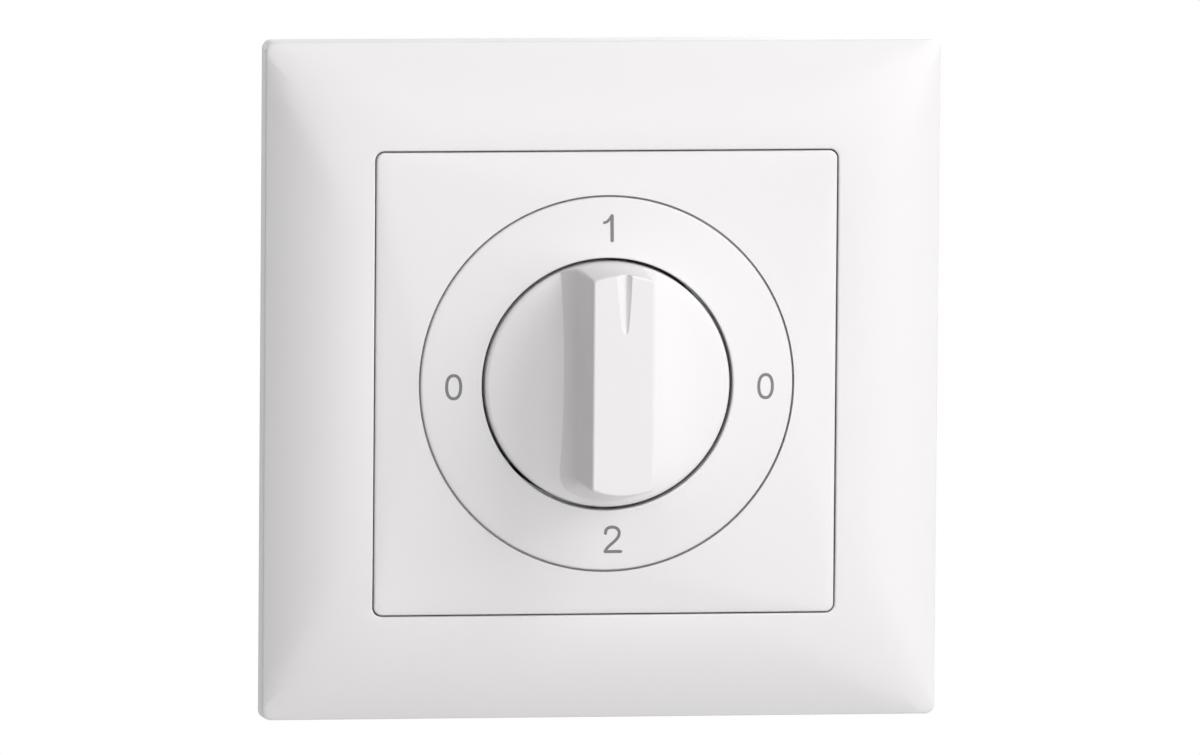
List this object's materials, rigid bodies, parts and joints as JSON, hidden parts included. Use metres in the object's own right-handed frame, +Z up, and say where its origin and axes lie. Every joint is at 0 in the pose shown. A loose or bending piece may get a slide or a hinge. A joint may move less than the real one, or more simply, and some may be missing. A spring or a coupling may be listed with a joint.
{
  "type": "rotary switch",
  "caption": "White flush rotary wall switch: square pillow-shaped frame, square plate with a digit ring, and a round knob with a bar handle.",
  "frame": {"origin": "on the knob's axis, in the wall plane, which is the back face of the mounting plate and the centre of the box screw slots", "axes": "+X to the right, +Z up towards the digit 1, +Y into the wall, so that the front faces -Y"},
  "size_m": [0.0882, 0.0485, 0.0882],
  "materials": {
    "white_plastic": "satin",
    "grey_thermoset": "matte",
    "white_nylon": "matte",
    "zinc_steel": "zinc plated",
    "spring_steel": "bright",
    "bronze": "bright rolled",
    "brass": "bright",
    "silver": "bright"
  },
  "bodies": {
    "insert": {"cover_frame": "white_plastic", "centre_plate": "white_plastic", "scale_ring": "white_plastic", "mounting_plate": "zinc_steel", "plate_screws": "zinc_steel", "housing_screws": "zinc_steel", "terminal_screws": "zinc_steel", "front_housing": "grey_thermoset", "rear_housing": "grey_thermoset", "divider_plate": "grey_thermoset", "detent_spring_left": "spring_steel", "detent_spring_right": "spring_steel", "contact_spring_one": "bronze", "contact_spring_two": "bronze", "moving_tip_one": "silver", "moving_tip_two": "silver", "fixed_tip_one": "silver", "fixed_tip_two": "silver", "fixed_contact_one": "brass", "fixed_contact_two": "brass", "common_rail": "brass", "terminal_one": "brass", "terminal_two": "brass", "terminal_feed_left": "brass", "terminal_feed_right": "brass"},
    "rotor": {"knob": "white_plastic", "knob_clip": "spring_steel", "spindle": "white_nylon", "detent_wheel": "white_nylon", "cam_drum": "white_nylon", "retaining_ring": "spring_steel"}
  },
  "joints": [
    {"name": "knob_turn", "type": "hinge", "parent": "insert", "child": "rotor", "pos_m": [0, 0, 0], "axis": [0, -1, 0], "continuous": true, "deforming": ["detent_spring_left", "detent_spring_right", "contact_spring_one", "contact_spring_two", "moving_tip_one", "moving_tip_two"]}
  ]
}
